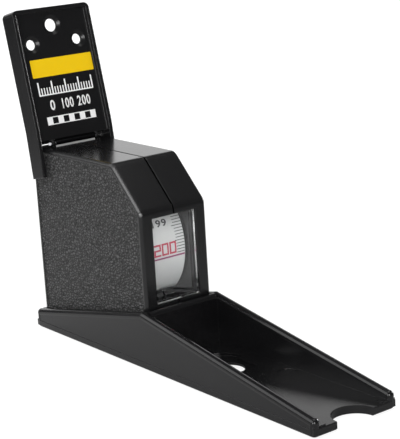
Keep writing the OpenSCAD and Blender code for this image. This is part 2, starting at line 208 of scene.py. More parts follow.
def new_object(name, data):
    """An object with that mesh, lamp, camera or curve, linked into the scene."""
    thing = bpy.data.objects.new(name, data)
    bpy.context.scene.collection.objects.link(thing)
    return thing


def put_piece(name, mesh, material, body, slot, *nodes):
    """A finished mesh as a piece of the object, in place of the nodes that it stands for."""
    piece = new_object(name, mesh)
    if material is not None:
        mesh.materials.clear()
        mesh.materials.append(material)
    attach(piece, body)
    if nodes:
        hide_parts(*nodes)


def settle(piece):
    """Turns a piece with modifiers into a plain mesh."""
    seen = piece.evaluated_get(bpy.context.evaluated_depsgraph_get())
    mesh = bpy.data.meshes.new_from_object(seen)
    mesh.name = piece.name
    piece.modifiers.clear()
    old = piece.data
    piece.data = mesh
    if isinstance(old, bpy.types.Mesh):
        bpy.data.meshes.remove(old)
    return mesh


head_plastic = moulded_plastic(
    "head_plastic", dark=(0.004, 0.004, 0.0045), light=(0.007, 0.007, 0.0075), sheen=0.42,
    gloss=0.16, rough=0.26, grain=2400, depth=8e-6, marks=0.03, ease=1.4e-4)
finish_node("headpiece", head_plastic)


# CASE HALVES
# Two half shells of the same black plastic, joined on a seam down the middle. Their flat sides are
# sunk a little inside a smooth border and have a leather grain of pebbles from the mould. Painted
# shade darkens the grain's creases and the seam's groove.

def reckon(tree, operation, first, second):
    """A math node whose two inputs are outlets or plain numbers."""
    node = add(tree, "ShaderNodeMath", operation=operation)
    for place, value in enumerate((first, second)):
        if isinstance(value, (int, float)):
            node.inputs[place].default_value = value
        else:
            link(tree, value, node.inputs[place])
    return node.outputs[0]


# The case's side in Y and Z, run anticlockwise, and the smooth border around its panel
side_outline = [(0.0086, 0.01578), (0.0716, 0.00367), (0.0716, 0.065), (0.0229, 0.065),
                (0.0086, 0.0507)]
border_width = 0.00165
side_x = 0.0124


def side_panel(tree, place, width):
    """A mask that is 1 on the panels: inside their border, and only on the case's two sides."""
    nearest = None
    for start, end in zip(side_outline, side_outline[1:] + side_outline[:1]):
        dy, dz = end[0] - start[0], end[1] - start[1]
        length = math.hypot(dy, dz)
        normal = (0.0, -dz / length, dy / length)
        reach = add(tree, "ShaderNodeVectorMath", operation="DOT_PRODUCT")
        reach.inputs[1].default_value = normal
        link(tree, place, reach.inputs[0])
        from_edge = reckon(tree, "SUBTRACT", reach.outputs["Value"],
                           normal[1] * start[0] + normal[2] * start[1])
        nearest = (from_edge if nearest is None
                   else reckon(tree, "MINIMUM", nearest, from_edge))
    panel = ramp(tree, nearest, border_width - 0.0001, border_width + 0.0001)
    return reckon(tree, "MULTIPLY", panel, reckon(tree, "GREATER_THAN", width, side_x))


def pebbles(tree, place):
    """A leather grain: 0 in the creases and 1 on pebbles just under 1 mm wide and longer in Y."""
    bend = add(tree, "ShaderNodeTexNoise")
    bend.inputs["Scale"].default_value = 500.0
    link(tree, place, bend.inputs["Vector"])
    push = add(tree, "ShaderNodeVectorMath", operation="SCALE")
    push.inputs["Scale"].default_value = 0.001
    link(tree, bend.outputs["Color"], push.inputs[0])
    moved = add(tree, "ShaderNodeVectorMath", operation="ADD")
    link(tree, place, moved.inputs[0])
    link(tree, push.outputs["Vector"], moved.inputs[1])
    stretched = add(tree, "ShaderNodeVectorMath", operation="MULTIPLY")
    stretched.inputs[1].default_value = (1.0, 0.68, 1.0)
    link(tree, moved.outputs["Vector"], stretched.inputs[0])
    cells = add(tree, "ShaderNodeTexVoronoi", feature="DISTANCE_TO_EDGE")
    cells.inputs["Scale"].default_value = 1080.0
    cells.inputs["Randomness"].default_value = 0.8
    link(tree, stretched.outputs["Vector"], cells.inputs["Vector"])
    return ramp(tree, cells.outputs["Distance"], 0.03, 0.27)


def case_material():
    """Smooth black plastic, a grained panel on each side, painted shade in its creases and seam.
    """
    material, tree, surface = new_material("case_plastic")
    place = add(tree, "ShaderNodeTexCoord").outputs["Object"]
    apart = add(tree, "ShaderNodeSeparateXYZ")
    link(tree, place, apart.inputs["Vector"])
    width = reckon(tree, "ABSOLUTE", apart.outputs["X"], 0.0)
    mask = side_panel(tree, place, width)
    grain = pebbles(tree, place)
    # The grain stands only on the panel; elsewhere the skin is fine and smoother
    skin = place_group(tree, moulded_skin, Grain_per_metre=2600.0)
    coarse = reckon(tree, "MULTIPLY", grain, mask)
    fine = reckon(tree, "MULTIPLY", skin.outputs["Height"], 0.006)
    relief(tree, reckon(tree, "ADD", coarse, fine), 5e-4, surface, 8e-4)
    smooth = tint(tree, skin.outputs["Mottle"], (0.005, 0.005, 0.0055), (0.009, 0.009, 0.0095))
    # Painted shade: on the panel the colour is black in the grain's creases and lighter on the
    # pebbles' tops
    pebble_shade_painted = tint(tree, grain, (0.0, 0.0, 0.0), (0.076, 0.076, 0.077))
    colour = add(tree, "ShaderNodeMix", data_type="RGBA")
    link(tree, mask, colour.inputs["Factor"])
    link(tree, smooth.outputs["Result"], colour.inputs["A"])
    link(tree, pebble_shade_painted.outputs["Result"], colour.inputs["B"])
    # Painted shade: along the seam's groove the colour is painted black and its reflection is
    # turned off
    off_seam_shade = ramp(tree, width, 0.00024, 0.00036)
    seam_shade_painted = add(tree, "ShaderNodeMix", data_type="RGBA")
    seam_shade_painted.inputs["A"].default_value = (0.001, 0.001, 0.001, 1.0)
    link(tree, off_seam_shade, seam_shade_painted.inputs["Factor"])
    link(tree, colour.outputs["Result"], seam_shade_painted.inputs["B"])
    link(tree, seam_shade_painted.outputs["Result"], surface.inputs["Base Color"])
    between(tree, off_seam_shade, 1.0, 1.5, surface.inputs["IOR"])
    between(tree, mask, 0.2, 0.52, surface.inputs["Roughness"])
    return material


case_plastic = case_material()
finish_node("case_left", case_plastic)
finish_node("case_right", case_plastic)


# SCREWS
# Zinc-plated pan-head screws: four through the right half of the case into the left, and four up
# through the headpiece's floor into the case.

def metal(name, low, high, gloss, rough, grain, depth):
    """Bare or plated metal with a slow change of tone and fine relief."""
    material, tree, surface = new_material(name)
    skin = place_group(tree, moulded_skin, Grain_per_metre=grain, Mottle_per_metre=260.0)
    tint(tree, skin.outputs["Mottle"], low, high, surface.inputs["Base Color"])
    surface.inputs["Metallic"].default_value = 1.0
    between(tree, skin.outputs["Mottle"], gloss, rough, surface.inputs["Roughness"])
    relief(tree, skin.outputs["Height"], depth, surface)
    return material


zinc = metal("zinc_plate", low=(0.46, 0.47, 0.5), high=(0.62, 0.63, 0.65),
             gloss=0.24, rough=0.4, grain=4000, depth=6e-6)


def geometry_tree(name, inputs):
    """An empty geometry node tree with named inputs."""
    tree = bpy.data.node_groups.new(name, "GeometryNodeTree")
    tree.is_modifier = True
    for label, kind, default in inputs:
        socket = tree.interface.new_socket(label, in_out="INPUT", socket_type=kind)
        if default is not None:
            socket.default_value = default
    tree.interface.new_socket("Geometry", in_out="OUTPUT", socket_type="NodeSocketGeometry")
    return tree, add(tree, "NodeGroupInput"), add(tree, "NodeGroupOutput")


def vector_of(tree, x, y, z):
    """A vector from three outlets or plain numbers."""
    node = add(tree, "ShaderNodeCombineXYZ")
    for place, value in enumerate((x, y, z)):
        if isinstance(value, (int, float)):
            node.inputs[place].default_value = value
        else:
            link(tree, value, node.inputs[place])
    return node.outputs[0]


def placed(tree, mesh, offset):
    """The mesh moved by a vector."""
    node = add(tree, "GeometryNodeTransform")
    link(tree, mesh, node.inputs["Geometry"])
    link(tree, offset, node.inputs["Translation"])
    return node.outputs["Geometry"]


def finished(tree, instances, paint, result):
    """Realizes the instances, gives them their material and sends them out."""
    solid = add(tree, "GeometryNodeRealizeInstances")
    link(tree, instances, solid.inputs["Geometry"])
    coated = add(tree, "GeometryNodeSetMaterial")
    link(tree, solid.outputs["Geometry"], coated.inputs["Geometry"])
    link(tree, paint, coated.inputs["Material"])
    link(tree, coated.outputs["Geometry"], result.inputs["Geometry"])


def grown_mesh(name, tree, seed=None, **values):
    """What a geometry tree makes, as a plain mesh; inputs are set by their socket's identifier."""
    piece = new_object(name, seed or bpy.data.meshes.new(name))
    maker = piece.modifiers.new("maker", "NODES")
    maker.node_group = tree
    for socket in tree.interface.items_tree:
        label = socket.name.replace(" ", "_")
        if socket.in_out == "INPUT" and label in values:
            maker[socket.identifier] = values[label]
    mesh = settle(piece)
    bpy.data.objects.remove(piece)
    return mesh


def screw_tree():
    """A pan-head screw on each point, in millimetres: its seat on the point, its head above."""
    tree, given, result = geometry_tree("pan_head_screws", [
        ("Geometry", "NodeSocketGeometry", None), ("Head radius", "NodeSocketFloat", 2.2),
        ("Head height", "NodeSocketFloat", 1.5), ("Shank radius", "NodeSocketFloat", 1.1),
        ("Shank length", "NodeSocketFloat", 5.0), ("Turn", "NodeSocketVector", None),
        ("Plating", "NodeSocketMaterial", None)])
    rim_height = reckon(tree, "MULTIPLY", given.outputs["Head height"], 0.45)
    rim = add(tree, "GeometryNodeMeshCylinder")
    rim.inputs["Vertices"].default_value = 40
    link(tree, given.outputs["Head radius"], rim.inputs["Radius"])
    link(tree, rim_height, rim.inputs["Depth"])
    rim_mesh = placed(tree, rim.outputs["Mesh"],
                      vector_of(tree, 0.0, 0.0, reckon(tree, "MULTIPLY", rim_height, 0.5)))
    ball = add(tree, "GeometryNodeMeshUVSphere")
    ball.inputs["Segments"].default_value = 34
    ball.inputs["Rings"].default_value = 19
    ball.inputs["Radius"].default_value = 1.0
    dome = add(tree, "GeometryNodeTransform")
    link(tree, ball.outputs["Mesh"], dome.inputs["Geometry"])
    centre = reckon(tree, "MULTIPLY", given.outputs["Head height"], 0.41)
    link(tree, vector_of(tree, 0.0, 0.0, centre), dome.inputs["Translation"])
    flat = reckon(tree, "MULTIPLY", given.outputs["Head height"], 0.588)
    wide = reckon(tree, "MULTIPLY", given.outputs["Head radius"], 0.97)
    link(tree, vector_of(tree, wide, wide, flat), dome.inputs["Scale"])
    head = add(tree, "GeometryNodeMeshBoolean", operation="UNION")
    link(tree, rim_mesh, head.inputs[1])
    link(tree, dome.outputs["Geometry"], head.inputs[1])
    cuts = []
    # The two slots of the cross differ a little, so that none of their faces coincide
    for long_x, long_y, tall in ((1.15, 0.24, 1.0), (0.237, 1.13, 0.97)):
        cut = add(tree, "GeometryNodeMeshCube")
        link(tree, vector_of(
            tree, reckon(tree, "MULTIPLY", given.outputs["Head radius"], long_x),
            reckon(tree, "MULTIPLY", given.outputs["Head radius"], long_y),
            reckon(tree, "MULTIPLY", given.outputs["Head height"], tall)), cut.inputs["Size"])
        cuts.append(placed(tree, cut.outputs["Mesh"], vector_of(
            tree, 0.0, 0.0, given.outputs["Head height"])))
    slotted = add(tree, "GeometryNodeMeshBoolean", operation="DIFFERENCE")
    link(tree, head.outputs["Mesh"], slotted.inputs[0])
    for cut in cuts:
        link(tree, cut, slotted.inputs[1])
    shank = add(tree, "GeometryNodeMeshCylinder")
    shank.inputs["Vertices"].default_value = 24
    link(tree, given.outputs["Shank radius"], shank.inputs["Radius"])
    link(tree, given.outputs["Shank length"], shank.inputs["Depth"])
    shank_mesh = placed(tree, shank.outputs["Mesh"], vector_of(
        tree, 0.0, 0.0, reckon(tree, "MULTIPLY", given.outputs["Shank length"], -0.5)))
    whole = add(tree, "GeometryNodeJoinGeometry")
    link(tree, slotted.outputs["Mesh"], whole.inputs["Geometry"])
    link(tree, shank_mesh, whole.inputs["Geometry"])
    copies = add(tree, "GeometryNodeInstanceOnPoints")
    link(tree, given.outputs["Geometry"], copies.inputs["Points"])
    link(tree, whole.outputs["Geometry"], copies.inputs["Instance"])
    link(tree, given.outputs["Turn"], copies.inputs["Rotation"])
    copies.inputs["Scale"].default_value = (0.001, 0.001, 0.001)
    finished(tree, copies.outputs["Instances"], given.outputs["Plating"], result)
    return tree


def screw_points(name, places):
    """A mesh of loose points for the seats of the screws."""
    points = bpy.data.meshes.new(name)
    points.from_pydata(places, [], [])
    return points


screws = screw_tree()
low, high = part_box("case_screws")
head_height = 0.0015
seat_x = high[0] - head_height
boss_places = [(0.0196, 0.01887), (0.0656, 0.01082), (0.0679, 0.0598), (0.0205, 0.056)]
case_seats = [(seat_x, y, z) for y, z in boss_places]
case_set = grown_mesh(
    "case_screw_set", screws, screw_points("case_seats", case_seats),
    Shank_length=(seat_x - low[0]) * 1000, Turn=(0.0, math.radians(90), 0.0), Plating=zinc)
put_piece("case_screw_set", case_set, None, "case", "steel", "case_screws")
# The case's base slopes down to the wall side, and the heads lie sunk below it
base_low, base_slope, wall_side = 0.0064, 0.1923, 0.073
seat_depth = 0.0047
under_seats = []
for y in (0.016, 0.057):
    seat_z = base_low + (wall_side - y) * base_slope - seat_depth
    under_seats += [(x, y, seat_z) for x in (-0.008, 0.008)]
head_set = grown_mesh(
    "head_screw_set", screws, screw_points("head_seats", under_seats),
    Shank_length=5.7, Turn=(math.radians(180), 0.0, 0.0), Plating=zinc)
put_piece("head_screw_set", head_set, None, "case", "steel", "headpiece_screws")


# WINDOW LENS
# A clear acrylic block that fills the window from inside, held by a lip behind the opening. Light
# reaches the tape through it, so its shadow is left out.

def clear_plastic():
    """Clear acrylic that lets lamplight through without a shadow."""
    material, tree, surface = new_material("clear_acrylic")
    surface.inputs["Base Color"].default_value = (0.96, 0.97, 0.97, 1.0)
    surface.inputs["Transmission Weight"].default_value = 1.0
    surface.inputs["IOR"].default_value = 1.46
    skin = place_group(tree, moulded_skin, Grain_per_metre=900.0)
    between(tree, skin.outputs["Mottle"], 0.0, 0.05, surface.inputs["Roughness"])
    relief(tree, skin.outputs["Height"], 1e-6, surface)
    path = add(tree, "ShaderNodeLightPath")
    through = add(tree, "ShaderNodeBsdfTransparent")
    through.inputs["Color"].default_value = (0.95, 0.96, 0.96, 1.0)
    choose = add(tree, "ShaderNodeMixShader")
    link(tree, path.outputs["Is Shadow Ray"], choose.inputs[0])
    link(tree, surface.outputs["BSDF"], choose.inputs[1])
    link(tree, through.outputs["BSDF"], choose.inputs[2])
    link(tree, choose.outputs["Shader"], tree.nodes["Material Output"].inputs["Surface"])
    return material


finish_node("window_lens", clear_plastic())


# REEL
# The drum and its pressed-in cover are white acetal and turn on a steel post that is keyed into
# both halves of the case. The blued mainspring is wound inside the drum.

def pale_plastic(name, low, high):
    """Natural acetal or nylon: dull, with a slow change of tone."""
    material, tree, surface = new_material(name)
    skin = place_group(tree, moulded_skin, Grain_per_metre=1800.0)
    tint(tree, skin.outputs["Mottle"], low, high, surface.inputs["Base Color"])
    between(tree, skin.outputs["Mottle"], 0.35, 0.5, surface.inputs["Roughness"])
    relief(tree, skin.outputs["Height"], 1e-5, surface)
    return material


finish_node("reel_drum", pale_plastic("white_acetal", (0.7, 0.7, 0.66), (0.8, 0.8, 0.77)))
finish_node("drum_cover", bpy.data.materials["white_acetal"])
finish_node("thrust_washers", pale_plastic("washer_nylon", (0.7, 0.66, 0.55), (0.8, 0.77, 0.68)))
finish_node("centre_post", metal(
    "turned_steel", low=(0.42, 0.42, 0.43), high=(0.58, 0.58, 0.59),
    gloss=0.2, rough=0.34, grain=5000, depth=5e-6))
finish_node("mainspring", metal(
    "blued_spring_steel", low=(0.07, 0.09, 0.16), high=(0.16, 0.19, 0.28),
    gloss=0.18, rough=0.34, grain=5000, depth=4e-6))


# WOUND TAPE
# Steel strip in white lacquer, wound on the drum. Its outer turn is a spiral that ends where the
# tape leaves the roll for the slot, leaning by the same angle as the bracket.

lacquer_low, lacquer_high = (0.44, 0.44, 0.44), (0.5, 0.5, 0.495)


def lacquer(name):
    """White lacquer on steel, and its tree, surface, skin and colour for whoever prints on it."""
    material, tree, surface = new_material(name)
    skin = place_group(tree, moulded_skin, Grain_per_metre=1500.0, Mottle_per_metre=120.0)
    colour = tint(tree, skin.outputs["Mottle"], lacquer_low, lacquer_high,
                  surface.inputs["Base Color"])
    between(tree, skin.outputs["Mottle"], 0.3, 0.42, surface.inputs["Roughness"])
    return material, tree, surface, skin, colour


white_lacquer, tree, surface, skin, _ = lacquer("white_lacquer")
relief(tree, skin.outputs["Height"], 4e-6, surface)
finish_node("tape_roll", white_lacquer)

roll_y, roll_z = 0.0357, 0.0351
roll_axis = Vector((0.0, roll_y, roll_z))
lean = math.radians(13.1)
outer_r = 0.02038
half_width = 0.008
tape_thick = 0.00013


# PRINT ON THE ROLL
# Thin raised ink on the outer turn: millimetre ticks along one edge, a black number at each
# centimetre, and red figures above a purple line at the first mark.

red_mark = math.radians(-172.6)
tick_pitch = 0.001
tick_lift = 1.2e-5
tick_thick = 1.6e-5
ink_thick = 1.5e-5


def roll_radius(angle):
    """The outer turn is a spiral that starts where the tape leaves the roll."""
    return outer_r - tape_thick * (-lean - angle) / math.tau


def ink(name, colour):
    """Printing ink, a little glossy, worn thin in small specks."""
    material, tree, surface = new_material(name)
    skin = place_group(tree, moulded_skin, Grain_per_metre=3000.0, Mottle_per_metre=900.0)
    pale = tuple(min(1.0, c * 0.94 + 0.01) for c in colour)
    tint(tree, skin.outputs["Mottle"], colour, pale, surface.inputs["Base Color"])
    between(tree, skin.outputs["Height"], 0.3, 0.5, surface.inputs["Roughness"])
    surface.inputs["Specular IOR Level"].default_value = 0.2
    return material


black_ink = ink("black_ink", (0.03, 0.03, 0.032))
red_ink = ink("red_ink", (0.37, 0.014, 0.046))
mark_ink = ink("mark_ink", (0.2, 0.02, 0.09))


def row_of_bars(tree, count, places, size, shift, stretch, turn=None):
    """As many bars as the count, each shifted, stretched, turned and set on its place."""
    points = add(tree, "GeometryNodePoints")
    link(tree, count, points.inputs["Count"])
    moved = add(tree, "GeometryNodeSetPosition")
    link(tree, points.outputs[0], moved.inputs["Geometry"])
    link(tree, places, moved.inputs["Position"])
    bar = add(tree, "GeometryNodeMeshCube")
    link(tree, size, bar.inputs["Size"])
    copies = add(tree, "GeometryNodeInstanceOnPoints")
    link(tree, moved.outputs["Geometry"], copies.inputs["Points"])
    link(tree, placed(tree, bar.outputs["Mesh"], shift), copies.inputs["Instance"])
    link(tree, stretch, copies.inputs["Scale"])
    if turn is not None:
        link(tree, turn, copies.inputs["Rotation"])
    return copies.outputs["Instances"]


def tick_tree():
    """Ticks on the roll: all start at the tape's edge, and every fifth is a little longer."""
    tree, given, result = geometry_tree("tape_ticks", [
        ("Count", "NodeSocketInt", 60), ("Pitch", "NodeSocketFloat", 0.001),
        ("Length", "NodeSocketFloat", 0.0034), ("Width", "NodeSocketFloat", 0.00022),
        ("Radius", "NodeSocketFloat", 0.0204), ("Shrink", "NodeSocketFloat", 1e-6),
        ("First angle", "NodeSocketFloat", 0.0), ("Edge", "NodeSocketFloat", 0.0079),
        ("Ink", "NodeSocketMaterial", None)])
    number = add(tree, "GeometryNodeInputIndex").outputs["Index"]
    step = reckon(tree, "ADD", number, 1.0)
    arc = reckon(tree, "MULTIPLY", step, given.outputs["Pitch"])
    turned = reckon(tree, "DIVIDE", arc, given.outputs["Radius"])
    angle = reckon(tree, "SUBTRACT", given.outputs["First angle"], turned)
    shrunk = reckon(tree, "MULTIPLY", step, given.outputs["Shrink"])
    radius = reckon(tree, "SUBTRACT", given.outputs["Radius"], shrunk)
    across = reckon(tree, "MULTIPLY", radius, reckon(tree, "COSINE", angle, 0.0))
    height = reckon(tree, "MULTIPLY", radius, reckon(tree, "SINE", angle, 0.0))
    places = vector_of(tree, given.outputs["Edge"], across, height)
    size = vector_of(tree, given.outputs["Length"], tick_thick, given.outputs["Width"])
    back = vector_of(tree, reckon(tree, "MULTIPLY", given.outputs["Length"], -0.5), 0.0, 0.0)
    fifth = reckon(tree, "COMPARE", reckon(tree, "MODULO", step, 5.0), 0.0)
    tenth = reckon(tree, "COMPARE", reckon(tree, "MODULO", step, 10.0), 0.0)
    longer = reckon(tree, "ADD", reckon(tree, "MULTIPLY", fifth, 0.18),
                    reckon(tree, "MULTIPLY", tenth, 0.06))
    stretch = vector_of(tree, reckon(tree, "ADD", longer, 1.0), 1.0, 1.0)
    bars = row_of_bars(tree, given.outputs["Count"], places, size, back, stretch,
                       vector_of(tree, angle, 0.0, 0.0))
    finished(tree, bars, given.outputs["Ink"], result)
    return tree


tick_r = roll_radius(red_mark) + tick_lift
ticks = grown_mesh(
    "roll_ticks", tick_tree(), Count=64, Pitch=tick_pitch, Length=0.0033, Width=0.00024,
    Radius=tick_r, Shrink=tape_thick / math.tau / tick_r * tick_pitch, First_angle=red_mark,
    Edge=0.00795, Ink=black_ink)
ticks.transform(Matrix.Translation(roll_axis))
put_piece("roll_ticks", ticks, None, "reel", "tape_lacquer")


def as_mesh(shape, name):
    """The shape as a mesh; the shape itself is freed."""
    mesh = bpy.data.meshes.new(name)
    shape.to_mesh(mesh)
    shape.free()
    return mesh


def raised(shape, faces, thick):
    """Gives flat faces a thickness, so that they become a closed solid."""
    lifted = bmesh.ops.extrude_face_region(shape, geom=faces)
    bmesh.ops.translate(shape, vec=(0.0, 0.0, thick),
                        verts=[v for v in lifted["geom"] if isinstance(v, bmesh.types.BMVert)])
    bmesh.ops.recalc_face_normals(shape, faces=shape.faces)


def cut_in_bands(shape, height):
    """Cuts flat print across, so that it can bend with the roll."""
    widest = 0.0008
    bands = math.ceil(height / widest)
    for band in range(1, bands):
        bmesh.ops.bisect_plane(
            shape, geom=shape.verts[:] + shape.edges[:] + shape.faces[:],
            plane_co=(0.0, height * band / bands, 0.0), plane_no=(0.0, 1.0, 0.0))


def numeral_mesh(text, width, height, weight):
    """Plain numerals in the XY plane, the middle of their baseline at the origin."""
    words = bpy.data.curves.new("numerals", "FONT")
    words.body = text
    words.align_x = "CENTER"
    words.size = height * 1.42
    words.space_character = 1.12
    words.resolution_u = 3
    words.offset = weight
    holder = new_object("numerals", words)
    mesh = bpy.data.meshes.new_from_object(
        holder.evaluated_get(bpy.context.evaluated_depsgraph_get()))
    bpy.data.objects.remove(holder)
    bpy.data.curves.remove(words)
    shape = bmesh.new()
    shape.from_mesh(mesh)
    across = [v.co.x for v in shape.verts]
    upright = [v.co.y for v in shape.verts]
    middle = (min(across) + max(across)) / 2
    for vertex in shape.verts:
        vertex.co.x = (vertex.co.x - middle) * width / (max(across) - min(across))
        vertex.co.y = (vertex.co.y - min(upright)) * height / (max(upright) - min(upright))
    cut_in_bands(shape, height)
    raised(shape, shape.faces[:], ink_thick)
    shape.to_mesh(mesh)
    shape.free()
    return mesh


def wrap_on_roll(mesh, x, arc):
    """Bends flat print onto the outer turn, its baseline that far along the tape from the mark."""
    for vertex in mesh.vertices:
        flat = vertex.co.copy()
        angle = red_mark - (arc + flat.y) / outer_r
        radius = roll_radius(angle) + flat.z
        vertex.co = (x + flat.x, roll_axis.y + radius * math.cos(angle),
                     roll_axis.z + radius * math.sin(angle))
    return mesh


def joined(name, meshes):
    """Several meshes as one."""
    shape = bmesh.new()
    for mesh in meshes:
        shape.from_mesh(mesh)
        bpy.data.meshes.remove(mesh)
    return as_mesh(shape, name)


def printed_bar(width, height):
    """A thin flat bar in the XY plane, centred in X, its foot on the baseline."""
    shape = bmesh.new()
    bmesh.ops.create_cube(shape, size=1.0)
    bmesh.ops.scale(shape, verts=shape.verts, vec=(width, height, ink_thick))
    bmesh.ops.translate(shape, verts=shape.verts, vec=(0.0, height / 2, ink_thick / 2))
    cut_in_bands(shape, height)
    return as_mesh(shape, "bar")


def block_figures(text, width, height, stroke, pitch):
    """Square figures 0 and 2 made of bars that meet, their middle at the origin."""
    side = (width - stroke) / 2
    rise = (height - stroke) / 2
    level = [(0.0, 0.0, width, stroke), (0.0, 2 * rise, width, stroke)]
    strokes = {
        "0": level + [(x, stroke, stroke, height - 2 * stroke) for x in (-side, side)],
        "2": level + [(0.0, rise, width, stroke), (-side, stroke, stroke, rise - stroke),
                      (side, rise + stroke, stroke, rise - stroke)]}
    bars = []
    for place, figure in enumerate(text):
        across = (place - (len(text) - 1) / 2) * pitch
        for x, y, wide, tall in strokes[figure]:
            bar = printed_bar(wide, tall)
            bar.transform(Matrix.Translation((across + x, y, 0.0)))
            bars.append(bar)
    return joined("block_figures", bars)


red_figures = wrap_on_roll(
    block_figures("200", width=0.00275, height=0.0041, stroke=0.00062, pitch=0.0031), 0.0, 0.0009)
put_piece("red_print", red_figures, red_ink, "reel", "tape_lacquer")
mark_line = wrap_on_roll(printed_bar(0.0158, 0.0006), 0.0, -0.0003)
put_piece("mark_line", mark_line, mark_ink, "reel", "tape_lacquer")
centimetre = 10 * tick_pitch
black_print = joined("black_print", [
    wrap_on_roll(numeral_mesh(str(200 - count), 0.0058, 0.0025, 0.00009), -0.0005,
                 count * centimetre + 0.0005)
    for count in range(1, 6)])
put_piece("black_print", black_print, black_ink, "reel", "tape_lacquer")


# FREE RUN AND END FITTING
# The run is one strip of the tape from the roll to its end. Its marks are set out from the place
# of the end at full pull. The rolled end and its rivets have painted shade: steel made nearly
# black.

end_y, end_z = 0.063859, 0.0661
end_place = Vector((0.0, end_y, end_z))
tape_way = Vector((0.0, math.sin(lean), math.cos(lean)))
tape_out = Vector((0.0, -math.cos(lean), math.sin(lean)))
full_pull = 2.0
mark_from_end = 0.0933
scale_length = 1.9
# Pitch of each kind of tick, and how far from the tape's middle it starts
tick_reach = ((0.001, 0.0046), (0.005, 0.0035), (0.01, 0.0015))
half_tick = 0.00012


def marked_lacquer():
    """The lacquer with the scale's ticks as a pattern along the strip."""
    material, tree, surface, _, ground = lacquer("marked_lacquer")
    place = add(tree, "ShaderNodeTexCoord")
    along = add(tree, "ShaderNodeVectorMath", operation="DOT_PRODUCT")
    along.inputs[1].default_value = tape_way
    link(tree, place.outputs["Object"], along.inputs[0])
    start = end_place.dot(tape_way)
    apart = add(tree, "ShaderNodeSeparateXYZ")
    link(tree, place.outputs["Object"], apart.inputs["Vector"])
    from_end = reckon(tree, "SUBTRACT", start + full_pull, along.outputs["Value"])
    from_mark = reckon(tree, "SUBTRACT", from_end, mark_from_end)
    in_scale = reckon(tree, "MULTIPLY", reckon(tree, "GREATER_THAN", from_mark, -0.0002),
                      reckon(tree, "LESS_THAN", from_mark, scale_length))
    dark = None
    for pitch, reach in tick_reach:
        phase = reckon(tree, "PINGPONG", from_mark, pitch / 2)
        near = reckon(tree, "LESS_THAN", phase, half_tick)
        edge = reckon(tree, "GREATER_THAN", apart.outputs["X"], reach)
        row = reckon(tree, "MULTIPLY", near, edge)
        dark = row if dark is None else reckon(tree, "MAXIMUM", dark, row)
    marks = reckon(tree, "MULTIPLY", dark, in_scale)
    colour = add(tree, "ShaderNodeMix", data_type="RGBA")
    colour.inputs["B"].default_value = (0.03, 0.03, 0.032, 1.0)
    link(tree, marks, colour.inputs["Factor"])
    link(tree, ground.outputs["Result"], colour.inputs["A"])
    link(tree, colour.outputs["Result"], surface.inputs["Base Color"])
    return material


touch_r = 0.0204
run_low = (roll_z - end_z) / math.cos(lean) - touch_r * math.tan(lean) + 2e-5
# Its first 2.4 mm stand a tape's thickness off the roll, so that the turning print clears it
rings = ((run_low, 0.00015), (run_low + 0.0024, 0.0), (-0.0008, 0.0))
section = ((-half_width, 0.0), (half_width, 0.0), (half_width, -tape_thick),
           (-half_width, -tape_thick))
strip = bpy.data.meshes.new("tape_strip")
corners = []
sides = []
for ring, (along, clear) in enumerate(rings):
    for x, depth in section:
        corners.append(end_place + tape_way * along - tape_out * (depth + clear)
                       + Vector((x, 0.0, 0.0)))
    if ring > 0:
        last = ring * 4 - 4
        sides += [(last + a, last + 4 + a, last + 4 + b, last + b)
                  for a, b in ((0, 1), (1, 2), (2, 3), (3, 0))]
strip.from_pydata(corners, [], [(0, 1, 2, 3), (11, 10, 9, 8)] + sides)
strip.materials.append(marked_lacquer())
tape_strip = new_object("tape_strip", strip)
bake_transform(tape_strip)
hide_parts("tape_run")

# Painted shade: the end fitting's steel is made nearly black, as it lies in the bracket's shade
dark_steel = metal(
    "dark_steel", low=(0.022, 0.022, 0.024), high=(0.036, 0.036, 0.038),
    gloss=0.1, rough=0.16, grain=4000, depth=1e-6)
finish_node("tape_eye", dark_steel)
finish_node("eye_rivets", dark_steel)


# WALL BRACKET AND HINGE WIRE
# Glossy black moulding, a channel with a flat face, three countersunk screw holes and two cheeks
# that flank the case. A steel wire through the tape's rolled end hinges it.

bracket_plastic = moulded_plastic(
    "bracket_plastic", dark=(0.007, 0.007, 0.0075), light=(0.01, 0.01, 0.0105), sheen=0.26,
    gloss=0.14, rough=0.24, grain=1200, depth=6e-6, marks=0.03, ease=6e-4)
finish_node("wall_bracket", bracket_plastic)
finish_node("hinge_wire", metal(
    "bright_wire", low=(0.2, 0.2, 0.21), high=(0.27, 0.27, 0.28),
    gloss=0.36, rough=0.46, grain=5000, depth=2e-6))


# PRINT ON THE BRACKET
# A yellow stripe and plain white graduations with numbers and blocks, in thin raised paint. They
# take the place of the lettering on the real one.

bracket_face = Matrix.Translation(end_place) @ Matrix.Rotation(-lean, 4, "X")
facing = bracket_face @ Matrix.Rotation(math.radians(90), 4, "X")
paint_thick = 2.5e-5


def on_face(mesh, x, z):
    """Lays flat print on the bracket's face, its baseline that high above the hinge wire."""
    mesh.transform(facing @ Matrix.Translation((x, z, 2e-6)))
    return mesh


def rounded_bar(width, height, radius):
    """A thin bar with rounded corners, its foot on the baseline."""
    shape = bmesh.new()
    rim = []
    for turn_from, sx, sy in ((0, 1, 1), (90, -1, 1), (180, -1, 0), (270, 1, 0)):
        centre = (sx * (width / 2 - radius), radius + sy * (height - 2 * radius))
        for step in range(5):
            angle = math.radians(turn_from + step * 22.5)
            rim.append(shape.verts.new((centre[0] + radius * math.cos(angle),
                                        centre[1] + radius * math.sin(angle), 0.0)))
    raised(shape, [shape.faces.new(rim)], paint_thick)
    return as_mesh(shape, "rounded_bar")


